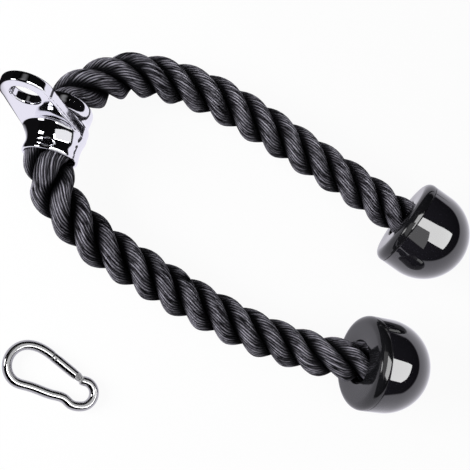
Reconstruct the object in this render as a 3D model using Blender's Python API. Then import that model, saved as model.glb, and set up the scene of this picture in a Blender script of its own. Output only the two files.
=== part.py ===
# Triceps rope: a laid rope in a chromed eye bracket, with a hollow ball on each end,
# and the snap hook that comes with it. It lies on a table, in metres, +Z up: the eye
# points to -X, the balls to +X, and the gap between the two legs is along Y.

import math

import bmesh
import bpy
import numpy as np
from mathutils import Matrix, Vector

# Clearances
SEAT_GAP = 0.0003  # between two pieces that seat on each other
OVERRUN = 0.004  # how far a cutter runs past the faces that it cuts

# Rope
ROPE_DIAMETER = 0.028
ROPE_STEP = 0.011  # distance between two rings of the rope's tubes
CURVE_LEAD = 0.001  # a short first and last step, so that each end is cut square
STRAIGHT_START = 0.0035  # how far the rope runs straight out of the mouth
BEND_LENGTH = 0.0275  # free rope past the bracket's mouth that flexes as a leg swings
LEG_REACH = 0.260  # the route's points below are shares of this length

# Each leg's route from the bracket's mouth to its ball, seen from above, with the rope's
# lift off the table last, from just past the mouth to just before the ball.
UPPER_ROUTE_SHARES = (
    (0.007, 0.083, 0.010),
    (0.050, 0.143, 0.010),
    (0.101, 0.187, 0.008),
    (0.197, 0.225, 0.005),
    (0.310, 0.249, 0.004),
    (0.420, 0.252, 0.004),
    (0.560, 0.247, 0.004),
    (0.690, 0.238, 0.006),
    (0.790, 0.227, 0.018),
)
LOWER_ROUTE_SHARES = (
    (0.021, -0.155, 0.024),
    (0.051, -0.185, 0.017),
    (0.097, -0.208, 0.010),
    (0.192, -0.242, 0.007),
    (0.304, -0.256, 0.006),
    (0.420, -0.269, 0.007),
    (0.545, -0.278, 0.011),
    (0.670, -0.282, 0.021),
    (0.800, -0.273, 0.036),
)

# Ball ends, each a hollow dome closed by a cap
BALL_RADIUS = 0.0335
BALL_STRAIGHT = 0.0125  # straight side between the seam and the round end
BALL_WALL = 0.0032
CAP_THICKNESS = 0.0075
CAP_EDGE_RADIUS = 0.0060
CAP_LIP_RADIUS = 0.0011  # round the rope's hole
CAP_HOLE_GAP = 0.0012  # between the rope and the cap's hole
SPIGOT_DEPTH = 0.007  # how far the cap's ring reaches into the dome
SPIGOT_WALL = 0.0025
WASHER_THICKNESS = 0.0025
WASHER_RIM_GAP = 0.0008  # between the washer and the cap's ring
FERRULE_LENGTH = 0.022
FERRULE_WALL = 0.0022
FERRULE_CRIMP_DEPTH = 0.0009
# Where each ball's face is, as shares of LEG_REACH, and how its axis lies, in degrees
UPPER_BALL_SHARES = (0.9885, 0.1835)
LOWER_BALL_SHARES = (0.9946, -0.2358)
UPPER_BALL_HEADING = -15.4
LOWER_BALL_HEADING = 14.0
UPPER_BALL_DROOP = 19.3
LOWER_BALL_DROOP = 5.4

# Eye bracket, a sleeve with a flared mouth at each end and a plate with the eye
SLEEVE_HALF = 0.0183  # from the bracket's middle to each mouth
SLEEVE_BEND = 6.8  # degrees that each half is bent towards the legs
BEND_DONE_SHARE = 0.4  # how far along each half the bend is complete
SLEEVE_PLACE = (-0.0034, -0.0113)
SLEEVE_LIP_RADIUS = 0.0175
SLEEVE_LIP_WALL = 0.0014
SLEEVE_BORE_GAP = 0.0006  # round the rope, which bends a little inside
RIDGE_EYE_RADIUS = 0.0212  # the middle ridge on the eye's side
RIDGE_LEG_RADIUS = 0.0186  # and on the legs' side
NECK_RADIUS = 0.0168
NECK_SHARE = 0.8  # how far along each half the flank is thinnest
FLARE_START_SHARE = 0.5  # how far along each half the bore starts to flare
SLEEVE_SHARES = (0.19, 0.22, 0.27, 0.35, 0.46, 0.6, 0.8, 0.9, 1.0)
BORE_SHARES = (0.2, 0.35, 0.5, 0.65, 0.8, 0.9, 1.0, 1.2)
EYE_REACH = 0.0443  # from the sleeve's axis to the eye's centre
EYE_HOLE_DIAMETER = 0.0178
EYE_END_RADIUS = 0.0160
PLATE_BASE_WIDTH = 0.0406
PLATE_THICKNESS = 0.0070
PLATE_EDGE_RADIUS = 0.0022
EYE_TILT = 47.3  # degrees that the plate stands up off the table
BRACKET_YAW = -5.8
BRACKET_ROLL = -12.2

# Snap hook, a pear of round wire with a sprung gate
PIN_GAP = 0.00015  # round the rivet and the latch pin
HOOK_WIRE = 0.0062
HOOK_STEP = 0.0032  # distance between two rings of the wire
HOOK_BIG_RADIUS = 0.0123  # all radii and lengths are to the middle of the wire
HOOK_SMALL_RADIUS = 0.0080
HOOK_CENTRES = 0.0392
HOOK_BIG_BACK = 0.0006  # from the hook's origin back to the big loop's centre
HOOK_STEP_IN = 0.0005  # how far the spine ends inside the pivot's height, mirrored
HOOK_STEP_OUT = 0.0008  # and how far the step then stands outside the small loop
HOOK_PLACE = (0.0429, -0.1487)
HOOK_HEADING = -5.65
NOSE_X = 0.0106
NOSE_RISE = 0.0121
PIVOT_X = 0.0313
PIVOT_RISE = 0.0082
TONGUE_THICKNESS = 0.0026
TONGUE_DEPTH = 0.0044
TONGUE_REACH = 0.0024  # from the pivot to the tongue's flat end
TONGUE_ROOT = 0.0068  # from the pivot back into the wire
FORK_SLOT_WIDTH = 0.0032
FORK_SLOT_REACH = 0.0036  # from the pivot to the bottom of the gate's fork
GATE_END_GAP = 0.0004
NOSE_TAB_LENGTH = 0.0040
NOSE_TAB_DEPTH = 0.0025
NOSE_TAB_RISE = 0.00135
NOSE_SLOT_LENGTH = 0.0048
NOSE_SLOT_FLOOR = -0.0021  # below the gate's axis
RIVET_DIAMETER = 0.0024
RIVET_HEAD_DIAMETER = 0.0038
RIVET_HEAD_LOW = 0.00245  # from the hook's middle plane to the head's underside
RIVET_HEAD_TOP = 0.00305
RIVET_SINK_DIAMETER = 0.0044
LATCH_PIN_DIAMETER = 0.0014
LATCH_PIN_HALF = 0.0024
LATCH_PIN_INSET = 0.0026  # from the nose to the pin
LATCH_PIN_RISE = -0.0009
PLUNGER_START = 0.0027  # from the pivot to the plunger's tip
PLUNGER_LENGTH = 0.0045
PLUNGER_DIAMETER = 0.0022
SPRING_START = 0.0075
SPRING_LENGTH = 0.0075
SPRING_DIAMETER = 0.0024
SPRING_WIRE = 0.0004
SPRING_TURNS = 6
SPRING_BORE_DIAMETER = 0.0030
SPRING_BORE_END = 0.0153

# How finely round shapes are cut
ROUND_SIDES = 32
WIRE_SIDES = 12
SMALL_SIDES = 14

ROPE_RADIUS = ROPE_DIAMETER / 2
WIRE_RADIUS = HOOK_WIRE / 2
HALF_TURN = math.pi
QUARTER_TURN = math.pi / 2


def make_material(name, colour, roughness, metallic):
    material = bpy.data.materials.new(name)
    material.use_nodes = True
    shader = material.node_tree.nodes["Principled BSDF"]
    shader.inputs["Base Color"].default_value = (*colour, 1)
    shader.inputs["Roughness"].default_value = roughness
    shader.inputs["Metallic"].default_value = metallic
    return material


def new_object(name, mesh, material, parent):
    obj = bpy.data.objects.new(name, mesh)
    bpy.context.scene.collection.objects.link(obj)
    if material:
        mesh.materials.append(material)
    obj.parent = parent
    return obj


def new_empty(name, parent=None):
    empty = bpy.data.objects.new(name, None)
    bpy.context.scene.collection.objects.link(empty)
    empty.parent = parent
    return empty


def mesh_from(name, build, sharp=math.radians(35)):
    """A smooth-shaded mesh whose bmesh is filled in by build."""
    bm = bmesh.new()
    build(bm)
    bmesh.ops.recalc_face_normals(bm, faces=bm.faces)
    mesh = bpy.data.meshes.new(name)
    bm.to_mesh(mesh)
    bm.free()
    mesh.shade_smooth()
    mesh.set_sharp_from_angle(angle=sharp)
    return mesh


def turned(name, profile, sides=ROUND_SIDES):
    """A closed solid turned about Z from a closed profile of (radius, height) points."""

    def build(bm):
        rings = []
        for radius, height in profile:
            if radius < SEAT_GAP / 10:
                rings.append([bm.verts.new((0, 0, height))])
                continue
            ring = []
            for i in range(sides):
                angle = 2 * HALF_TURN * i / sides
                place = (radius * math.cos(angle), radius * math.sin(angle), height)
                ring.append(bm.verts.new(place))
            rings.append(ring)
        for low, high in zip(rings, rings[1:] + rings[:1]):
            for i in range(sides):
                j = (i + 1) % sides
                if len(low) == 1 and len(high) == 1:
                    break
                if len(low) == 1:
                    bm.faces.new((low[0], high[j], high[i]))
                elif len(high) == 1:
                    bm.faces.new((low[i], low[j], high[0]))
                else:
                    bm.faces.new((low[i], low[j], high[j], high[i]))

    return mesh_from(name, build)


def extruded(name, outline, low, high):
    """A prism between two heights from an outline of (x, y) points."""

    def build(bm):
        face = bm.faces.new([bm.verts.new((x, y, low)) for x, y in outline])
        made = bmesh.ops.extrude_face_region(bm, geom=[face])["geom"]
        up = [v for v in made if isinstance(v, bmesh.types.BMVert)]
        bmesh.ops.translate(bm, verts=up, vec=(0, 0, high - low))

    return mesh_from(name, build)


def swept(name, points, radius, sides=WIRE_SIDES):
    """A closed round tube along points, with flat ends."""

    def build(bm):
        places = [Vector(p) for p in points]
        ahead = (places[1] - places[0]).normalized()
        side = ahead.orthogonal().normalized()
        rings = []
        for k, place in enumerate(places):
            before = places[max(k - 1, 0)]
            after = places[min(k + 1, len(places) - 1)]
            along = (after - before).normalized()
            side = (side - along * side.dot(along)).normalized()
            up = along.cross(side)
            ring = []
            for i in range(sides):
                angle = 2 * HALF_TURN * i / sides
                away = math.cos(angle) * side + math.sin(angle) * up
                ring.append(bm.verts.new(place + radius * away))
            rings.append(ring)
        for low, high in zip(rings, rings[1:]):
            for i in range(sides):
                j = (i + 1) % sides
                bm.faces.new((low[i], low[j], high[j], high[i]))
        bm.faces.new(rings[0])
        bm.faces.new(rings[-1])

    return mesh_from(name, build)


def arc(centre, radius, start, end, steps):
    """Points on an arc in a plane, from one angle in degrees to another."""
    points = []
    for i in range(steps + 1):
        angle = math.radians(start + (end - start) * i / steps)
        points.append((centre[0] + radius * math.cos(angle), centre[1] + radius * math.sin(angle)))
    return points


def smooth_curve(points, start_way, end_way, step, fine_length=0):
    """Points at even steps on the cubic spline through points, with the way it points at each end.

    The steps over a first fine_length are a third as long.
    """
    knots = np.array(points, float)
    spans = np.linalg.norm(np.diff(knots, axis=0), axis=1)
    count = len(knots)
    system = np.eye(count)
    wanted = np.zeros_like(knots)
    wanted[0] = start_way
    wanted[-1] = end_way
    for k in range(1, count - 1):
        system[k, k - 1] = spans[k]
        system[k, k] = 2 * (spans[k - 1] + spans[k])
        system[k, k + 1] = spans[k - 1]
        before = (knots[k] - knots[k - 1]) * spans[k] / spans[k - 1]
        after = (knots[k + 1] - knots[k]) * spans[k - 1] / spans[k]
        wanted[k] = 3 * (before + after)
    slopes = np.linalg.solve(system, wanted)
    fine = []
    for k, span in enumerate(spans):
        for t in np.linspace(0, 1, 24, endpoint=False):
            fine.append(
                (2 * t**3 - 3 * t**2 + 1) * knots[k]
                + (t**3 - 2 * t**2 + t) * span * slopes[k]
                + (3 * t**2 - 2 * t**3) * knots[k + 1]
                + (t**3 - t**2) * span * slopes[k + 1]
            )
    fine.append(knots[-1])
    fine = np.array(fine)
    run = np.concatenate([[0], np.cumsum(np.linalg.norm(np.diff(fine, axis=0), axis=1))])
    marks = np.linspace(0, run[-1], max(2, round(run[-1] / step)) + 1)
    close = np.arange(step / 3, fine_length, step / 3)
    even = marks[(marks > fine_length + step / 3) & (marks < run[-1])]
    marks = np.concatenate([[0, CURVE_LEAD], close, even, [run[-1] - CURVE_LEAD, run[-1]]])
    return np.stack([np.interp(marks, run, fine[:, axis]) for axis in range(3)], axis=1)


def stretch(points, start, end):
    """The part of a line of points between two lengths along it, cut clean at both."""
    run = np.concatenate([[0], np.cumsum(np.linalg.norm(np.diff(points, axis=0), axis=1))])
    marks = [start, *[s for s in run if start + CURVE_LEAD / 2 < s < end - CURVE_LEAD / 2], end]
    return np.stack([np.interp(marks, run, points[:, axis]) for axis in range(3)], axis=1)


def length_of(points):
    return float(np.linalg.norm(np.diff(points, axis=0), axis=1).sum())


def rope_tube(name, points, material, parent):
    """A plain stretch of rope: a bevelled curve with filled ends."""
    curve = bpy.data.curves.new(name, "CURVE")
    curve.dimensions = "3D"
    curve.bevel_depth = ROPE_RADIUS
    curve.bevel_resolution = 4
    curve.use_fill_caps = True
    spline = curve.splines.new("POLY")
    spline.points.add(len(points) - 1)
    for point, place in zip(spline.points, points):
        point.co = (*place, 1)
    spline.use_smooth = True
    return new_object(name, curve, material, parent)


def cutter(name, mesh, parent, place=None):
    obj = new_object(name, mesh, None, parent)
    obj.hide_render = True
    obj.display_type = "WIRE"
    if place is not None:
        obj.matrix_local = place
    return obj


def combine(target, other, operation):
    modifier = target.modifiers.new(other.name, "BOOLEAN")
    modifier.operation = operation
    modifier.object = other
    modifier.solver = "EXACT"


def round_off(target, width, segments=3, angle=40):
    modifier = target.modifiers.new("rounded edges", "BEVEL")
    modifier.width = width
    modifier.segments = segments
    modifier.limit_method = "ANGLE"
    modifier.angle_limit = math.radians(angle)
    modifier.miter_outer = "MITER_ARC"


# The bracket's own frame has its middle plane across Y, the eye towards -X, and the sleeve's
# halves towards -Y and +Y, both bent a little towards +X.


def sleeve_ring(share, radius_at):
    """A ring of points round the sleeve at a share of the way from its middle to a mouth."""
    side = math.copysign(1, share)
    bend = math.radians(SLEEVE_BEND)
    centre = Vector((math.sin(bend), side * math.cos(bend), 0)) * SLEEVE_HALF * abs(share)
    turn = side * bend * min(1, abs(share) / BEND_DONE_SHARE)
    outward = Vector((math.cos(turn), -math.sin(turn), 0))
    ring = []
    for i in range(ROUND_SIDES):
        angle = 2 * HALF_TURN * i / ROUND_SIDES
        reach = radius_at(abs(share), (1 - math.cos(angle)) / 2)
        ring.append(centre + reach * (math.cos(angle) * outward + Vector((0, 0, math.sin(angle)))))
    return ring


def sleeve_solid(name, shares, radius_at):
    def build(bm):
        rings = [[bm.verts.new(place) for place in sleeve_ring(share, radius_at)] for share in shares]
        for low, high in zip(rings, rings[1:]):
            for i in range(ROUND_SIDES):
                j = (i + 1) % ROUND_SIDES
                bm.faces.new((low[i], low[j], high[j], high[i]))
        bm.faces.new(rings[0])
        bm.faces.new(rings[-1])

    return mesh_from(name, build)


def outside_radius(share, eye_side):
    """The sleeve's radius: a raised ridge in the middle, hollow flanks, then the flared lip."""
    ridge = RIDGE_LEG_RADIUS + (RIDGE_EYE_RADIUS - RIDGE_LEG_RADIUS) * eye_side
    neck = SLEEVE_LIP_RADIUS + (NECK_RADIUS - SLEEVE_LIP_RADIUS) * eye_side
    ridge_share = PLATE_THICKNESS / 2 / SLEEVE_HALF
    if share <= ridge_share:
        return ridge
    if share < NECK_SHARE:
        fallen = (share - ridge_share) / (NECK_SHARE - ridge_share)
        return ridge + (neck - ridge) * math.sin(QUARTER_TURN * fallen)
    return neck + (SLEEVE_LIP_RADIUS - neck) * ((share - NECK_SHARE) / (1 - NECK_SHARE)) ** 2


def bore_radius(share, eye_side):
    """The rope's way through, opening to a trumpet at each mouth. It is the same all round."""
    narrow = ROPE_RADIUS + SLEEVE_BORE_GAP
    wide = SLEEVE_LIP_RADIUS - SLEEVE_LIP_WALL
    opened = max(0, share - FLARE_START_SHARE) / (1 - FLARE_START_SHARE)
    return narrow + (wide - narrow) * opened**2


def mirrored(shares):
    return [-share for share in reversed(shares)] + [0] + list(shares)


def plate_outline():
    """The eye plate seen along the sleeve: a round end, and sides that spread to the sleeve."""
    lean = math.degrees(math.atan2(PLATE_BASE_WIDTH / 2 - EYE_END_RADIUS, EYE_REACH))
    end = arc((-EYE_REACH, 0), EYE_END_RADIUS, 90 - lean, 270 + lean, 18)
    return end + [(0, -PLATE_BASE_WIDTH / 2), (0, PLATE_BASE_WIDTH / 2)]


def make_bracket(parent, chrome):
    frame = new_empty("bracket_frame", parent)
    frame.rotation_euler = [math.radians(turn) for turn in (BRACKET_ROLL, EYE_TILT, BRACKET_YAW)]
    spin = frame.rotation_euler.to_matrix()
    low = min((spin @ place).z for side in (-1, 1) for place in sleeve_ring(side, outside_radius))
    frame.location = (*SLEEVE_PLACE, -low)

    bracket = new_object(
        "eye_bracket", sleeve_solid("eye_bracket", mirrored(SLEEVE_SHARES), outside_radius), chrome, frame
    )
    across = Matrix.Rotation(-QUARTER_TURN, 4, "X")
    half_thick = PLATE_THICKNESS / 2
    plate = cutter("plate_form", extruded("plate_form", plate_outline(), -half_thick, half_thick), frame)
    plate.data.transform(across)
    hole = turned("eye_form", cylinder(EYE_HOLE_DIAMETER / 2, -OVERRUN - half_thick, half_thick + OVERRUN))
    hole.transform(Matrix.Translation((-EYE_REACH, 0, 0)) @ across)
    combine(plate, cutter("eye_form", hole, frame), "DIFFERENCE")
    round_off(plate, PLATE_EDGE_RADIUS)
    bore = sleeve_solid("bore_form", mirrored(BORE_SHARES), bore_radius)
    combine(bracket, plate, "UNION")
    combine(bracket, cutter("bore_form", bore, frame), "DIFFERENCE")
    return frame


def mouth_of(frame, side):
    """The middle of the mouth towards -Y or +Y, and the way that it faces."""
    bpy.context.view_layer.update()
    bend = math.radians(SLEEVE_BEND)
    way = Vector((math.sin(bend), side * math.cos(bend), 0))
    return frame.matrix_world @ (way * SLEEVE_HALF), frame.matrix_world.to_3x3() @ way


def cylinder(radius, low, high):
    """The profile of a plain round bar between two heights."""
    return [(0, low), (radius, low), (radius, high), (0, high)]


def ring(inner, outer, low, high):
    """The profile of a plain ring between two heights."""
    return [(inner, low), (outer, low), (outer, high), (inner, high)]


# A ball's own frame has the rope's axis along Z, towards the rope, and the seam at height 0.


def dome_profile():
    round_start = -BALL_STRAIGHT
    outside = [(BALL_RADIUS, 0)]
    outside += arc((0, round_start), BALL_RADIUS, 0, -90, 12)
    inner = BALL_RADIUS - BALL_WALL
    inside = arc((0, round_start), inner, -90, 0, 8)
    inside += [(inner, 0)]
    outside[-1] = (0, outside[-1][1])
    inside[0] = (0, inside[0][1])
    return outside + inside


def cap_profile():
    low = SEAT_GAP
    high = low + CAP_THICKNESS
    hole = ROPE_RADIUS + CAP_HOLE_GAP
    spigot = BALL_RADIUS - BALL_WALL - SEAT_GAP
    edge = (BALL_RADIUS - CAP_EDGE_RADIUS, high - CAP_EDGE_RADIUS)
    points = [(BALL_RADIUS, low)]
    points += arc(edge, CAP_EDGE_RADIUS, 0, 90, 5)
    lip_middle = (hole + CAP_LIP_RADIUS, high - CAP_LIP_RADIUS)
    points += arc(lip_middle, CAP_LIP_RADIUS, 90, 180, 3)
    points += [(hole, low), (spigot - SPIGOT_WALL, low), (spigot - SPIGOT_WALL, -SPIGOT_DEPTH)]
    return points + [(spigot, -SPIGOT_DEPTH), (spigot, low)]


def washer_profile():
    outer = BALL_RADIUS - BALL_WALL - SEAT_GAP - SPIGOT_WALL - WASHER_RIM_GAP
    return ring(ROPE_RADIUS + SEAT_GAP, outer, -WASHER_THICKNESS, 0)


def ferrule_profile():
    """A crimped tube whose two necks grip the rope's end."""
    top = -WASHER_THICKNESS - SEAT_GAP
    inner = ROPE_RADIUS + SEAT_GAP
    outer = inner + FERRULE_WALL
    outside = []
    steps = 8
    for i in range(steps + 1):
        share = i / steps
        neck = FERRULE_CRIMP_DEPTH * math.sin(2 * HALF_TURN * share) ** 2
        outside.append((outer - neck, top - FERRULE_LENGTH * (1 - share)))
    return outside + [(inner, top), (inner, top - FERRULE_LENGTH)]


def ball_way(heading, droop):
    """The way a ball's axis points, out of the ball along the rope."""
    turn = math.radians(heading)
    down = math.radians(droop)
    return Vector((-math.cos(turn) * math.cos(down), -math.sin(turn) * math.cos(down), -math.sin(down)))


def ball_height(droop):
    """The height of the seam's centre with the ball resting on the table."""
    down = math.radians(droop)
    on_round_end = BALL_RADIUS - BALL_STRAIGHT * math.sin(down)
    cap_reach = CAP_THICKNESS + SEAT_GAP - CAP_EDGE_RADIUS
    cap_side = BALL_RADIUS - CAP_EDGE_RADIUS
    on_cap_edge = cap_side * math.cos(down) + cap_reach * math.sin(down) + CAP_EDGE_RADIUS
    return max(on_round_end, on_cap_edge)


def make_ball(side, shares, heading, droop, parent, plastics, metals):
    frame = new_empty("ball_frame_" + side, parent)
    way = ball_way(heading, droop)
    frame.location = (shares[0] * LEG_REACH, shares[1] * LEG_REACH, ball_height(droop))
    frame.rotation_mode = "QUATERNION"
    frame.rotation_quaternion = way.to_track_quat("Z", "Y")
    for name, profile, material in (
        ("ball_shell_" + side, dome_profile(), plastics["dome"]),
        ("ball_cap_" + side, cap_profile(), plastics["cap"]),
        ("end_washer_" + side, washer_profile(), metals["washer"]),
        ("end_ferrule_" + side, ferrule_profile(), metals["ferrule"]),
    ):
        new_object(name, turned(name, profile), material, frame)
    return Vector(frame.location), way


def leg_route(shares, mouth, mouth_way, seam, way):
    """The rope's middle line from the mouth to its cut end inside the ball."""
    points = [mouth, mouth + mouth_way * STRAIGHT_START]
    for x, y, lift in shares:
        points.append(Vector((x * LEG_REACH, y * LEG_REACH, ROPE_RADIUS + lift * LEG_REACH)))
    end = seam - way * (WASHER_THICKNESS + SEAT_GAP + FERRULE_LENGTH)
    points += [seam + way * ROPE_DIAMETER, seam + way * ROPE_RADIUS, seam, end]
    return smooth_curve(points, mouth_way, -way, ROPE_STEP, BEND_LENGTH + ROPE_STEP)


def make_rope(parent, joints, bracket, material, ends):
    """The crown inside the bracket, and on each side a bend that flexes and a leg that swings."""
    front, front_way = mouth_of(bracket, -1)
    rear, rear_way = mouth_of(bracket, 1)
    middle = bracket.matrix_world.translation
    crown = smooth_curve([front, middle, rear], -front_way, rear_way, ROPE_STEP / 2)
    rope_tube("rope_crown", stretch(crown, SEAT_GAP, length_of(crown) - SEAT_GAP), material, parent)
    for side, shares, mouth, mouth_way in (
        ("upper", UPPER_ROUTE_SHARES, rear, rear_way),
        ("lower", LOWER_ROUTE_SHARES, front, front_way),
    ):
        seam, way = ends[side]
        route = leg_route(shares, mouth, mouth_way, seam, way)
        total = length_of(route)
        rope_tube("rope_bend_" + side, stretch(route, SEAT_GAP, BEND_LENGTH), material, parent)
        rope_tube("rope_leg_" + side, stretch(route, BEND_LENGTH + SEAT_GAP, total), material, parent)
        joints["leg_" + side] = Vector(stretch(route, 0, BEND_LENGTH / 2)[-1])


# The snap hook's own frame has the big loop at its origin, the small loop towards +X and the
# gate on the +Y side. The gate's own frame is at its pivot, with +X towards the nose and +Y
# to the outside.


def gate_place():
    """The gate's frame in the hook's, turned so that its +X runs from the pivot to the nose."""
    aim = math.atan2(NOSE_RISE - PIVOT_RISE, NOSE_X - PIVOT_X)
    outside_up = Matrix.Rotation(HALF_TURN, 4, "X")
    return Matrix.Translation((PIVOT_X, PIVOT_RISE, 0)) @ Matrix.Rotation(aim, 4, "Z") @ outside_up


def gate_length():
    return math.hypot(NOSE_X - PIVOT_X, NOSE_RISE - PIVOT_RISE)


def hook_path():
    """The wire's middle line from the nose round the big loop and the small one to the tongue."""
    rise = math.atan2(NOSE_RISE - PIVOT_RISE, PIVOT_X - NOSE_X)
    way = Vector((-math.cos(rise), math.sin(rise), 0))
    spine_low = Vector((HOOK_CENTRES - HOOK_SMALL_RADIUS, -PIVOT_RISE + HOOK_STEP_IN, 0))
    step_out = Vector((HOOK_CENTRES - HOOK_SMALL_RADIUS / 2, -HOOK_SMALL_RADIUS - HOOK_STEP_OUT, 0))
    points = [Vector((NOSE_X, NOSE_RISE, 0))]
    points += [Vector((x, y, 0)) for x, y in arc((-HOOK_BIG_BACK, 0), HOOK_BIG_RADIUS, 104, 262, 6)]
    spine_high = points[-1]
    points += [spine_high.lerp(spine_low, k / 4) for k in range(1, 5)] + [step_out]
    points += [Vector((x, y, 0)) for x, y in arc((HOOK_CENTRES, 0), HOOK_SMALL_RADIUS, -70, 95, 6)]
    points.append(Vector((PIVOT_X, PIVOT_RISE, 0)) - way * (WIRE_RADIUS + 2 * SEAT_GAP))
    return smooth_curve(points, way, way, HOOK_STEP)


def box_form(name, low, high):
    """A box between two corners."""
    outline = [(low[0], low[1]), (high[0], low[1]), (high[0], high[1]), (low[0], high[1])]
    return extruded(name, outline, low[2], high[2])


def lying(mesh, start):
    """Turns a mesh built up along Z to run along +X from a start."""
    mesh.transform(Matrix.Translation((start, 0, 0)) @ Matrix.Rotation(QUARTER_TURN, 4, "Y"))
    return mesh


def nose_tab():
    half = NOSE_TAB_DEPTH / 2
    length = NOSE_TAB_LENGTH + WIRE_RADIUS - half
    outline = arc((0, 0), half, 90, 270, 8) + [(length, -half), (length, half)]
    mesh = extruded("tab_form", outline, -TONGUE_THICKNESS / 2, TONGUE_THICKNESS / 2)
    mesh.transform(Matrix.Translation((gate_length() - NOSE_TAB_LENGTH + half, NOSE_TAB_RISE, 0)))
    return mesh


def gate_rod():
    """The gate's rod along Z: a round end at the pivot and a flat one at the nose."""
    round_end = arc((0, 0), WIRE_RADIUS, -90, 0, 6)
    round_end[0] = (0, -WIRE_RADIUS)
    top = gate_length() - GATE_END_GAP
    return lying(turned("hook_gate", round_end + [(WIRE_RADIUS, top), (0, top)], WIRE_SIDES * 2), 0)


def gate_cuts():
    reach = gate_length()
    half_slot = FORK_SLOT_WIDTH / 2
    fork_end = (FORK_SLOT_REACH, HOOK_WIRE, half_slot)
    fork = box_form("fork_form", (-HOOK_WIRE, -HOOK_WIRE, -half_slot), fork_end)
    slot_start = (reach - NOSE_SLOT_LENGTH, NOSE_SLOT_FLOOR, -half_slot)
    slot = box_form("slot_form", slot_start, (reach + OVERRUN, HOOK_WIRE, half_slot))
    bore = cylinder(SPRING_BORE_DIAMETER / 2, 0, SPRING_BORE_END)
    rivet = cylinder(RIVET_DIAMETER / 2 + PIN_GAP, -HOOK_WIRE, HOOK_WIRE)
    pin = turned("pin_form", cylinder(LATCH_PIN_DIAMETER / 2 + PIN_GAP, -HOOK_WIRE, HOOK_WIRE), SMALL_SIDES)
    pin.transform(Matrix.Translation((reach - LATCH_PIN_INSET, LATCH_PIN_RISE, 0)))
    sink_low = RIVET_HEAD_LOW - PIN_GAP
    return [
        fork,
        slot,
        lying(turned("spring_bore_form", bore, SMALL_SIDES), 0),
        turned("pivot_form", rivet, SMALL_SIDES),
        pin,
        turned("upper_sink_form", cylinder(RIVET_SINK_DIAMETER / 2, sink_low, HOOK_WIRE), SMALL_SIDES),
        turned("lower_sink_form", cylinder(RIVET_SINK_DIAMETER / 2, -HOOK_WIRE, -sink_low), SMALL_SIDES),
    ]


def rivet_profile():
    shank = RIVET_DIAMETER / 2
    head = RIVET_HEAD_DIAMETER / 2
    upper = [(shank, RIVET_HEAD_LOW), (head, RIVET_HEAD_LOW)]
    upper += [(head, RIVET_HEAD_TOP), (0, RIVET_HEAD_TOP)]
    return [(radius, -height) for radius, height in reversed(upper)] + upper


def spring_coil():
    """The spring along Z from height 0, with its ends at full height."""
    points = []
    steps = SPRING_TURNS * 9
    radius = (SPRING_DIAMETER - SPRING_WIRE) / 2
    rise = SPRING_LENGTH - SPRING_WIRE
    for i in range(steps + 1):
        angle = 2 * HALF_TURN * SPRING_TURNS * i / steps
        height = SPRING_WIRE / 2 + rise * i / steps
        points.append((radius * math.cos(angle), radius * math.sin(angle), height))
    return swept("hook_spring", points, SPRING_WIRE / 2, 6)


def make_hook(parent, joints, materials):
    frame = new_empty("hook_frame", parent)
    frame.location = (*HOOK_PLACE, WIRE_RADIUS)
    frame.rotation_euler = (0, 0, math.radians(HOOK_HEADING))
    steel = materials["wire"]
    body = new_object("hook_body", swept("hook_body", hook_path(), WIRE_RADIUS), steel, frame)
    pivot = gate_place()

    half_thick = TONGUE_THICKNESS / 2
    half_depth = TONGUE_DEPTH / 2
    tongue_end = (TONGUE_REACH, half_depth, half_thick)
    tongue = box_form("tongue_form", (-TONGUE_ROOT, -half_depth, -half_thick), tongue_end)
    rivet_hole = cylinder(RIVET_DIAMETER / 2 + PIN_GAP, -HOOK_WIRE, HOOK_WIRE)
    for mesh, operation in (
        (tongue, "UNION"),
        (nose_tab(), "UNION"),
        (turned("rivet_hole_form", rivet_hole, SMALL_SIDES), "DIFFERENCE"),
    ):
        mesh.transform(pivot)
        combine(body, cutter(mesh.name, mesh, frame), operation)
    rivet = turned("hook_rivet", rivet_profile(), SMALL_SIDES)
    rivet.transform(pivot)
    new_object("hook_rivet", rivet, materials["rivet"], frame)

    gate_frame = new_empty("gate_frame", frame)
    gate_frame.matrix_local = pivot
    gate = new_object("hook_gate", gate_rod(), steel, gate_frame)
    for mesh in gate_cuts():
        combine(gate, cutter(mesh.name, mesh, gate_frame), "DIFFERENCE")
    pin_profile = cylinder(LATCH_PIN_DIAMETER / 2, -LATCH_PIN_HALF, LATCH_PIN_HALF)
    pin = turned("hook_latch_pin", pin_profile, SMALL_SIDES)
    pin.transform(Matrix.Translation((gate_length() - LATCH_PIN_INSET, LATCH_PIN_RISE, 0)))
    new_object("hook_latch_pin", pin, materials["rivet"], gate_frame)
    new_object("hook_spring", lying(spring_coil(), SPRING_START), materials["spring"], gate_frame)
    plunger = turned("hook_plunger", cylinder(PLUNGER_DIAMETER / 2, 0, PLUNGER_LENGTH), SMALL_SIDES)
    new_object("hook_plunger", lying(plunger, PLUNGER_START), materials["rivet"], gate_frame)
    bpy.context.view_layer.update()
    joints["gate"] = gate_frame.matrix_world.translation.copy()


def clear_scene():
    for obj in list(bpy.data.objects):
        bpy.data.objects.remove(obj, do_unlink=True)


def centre_footprint(base):
    """Moves everything so that the rigid pieces' box has its middle over the origin."""
    graph = bpy.context.evaluated_depsgraph_get()
    places = []
    for obj in bpy.context.view_layer.objects:
        if obj.type == "MESH" and not obj.hide_render:
            shape = obj.evaluated_get(graph)
            places += [shape.matrix_world @ vertex.co for vertex in shape.data.vertices]
    for axis in (0, 1):
        reach = [place[axis] for place in places]
        base.location[axis] = -(min(reach) + max(reach)) / 2
    bpy.context.view_layer.update()


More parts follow.
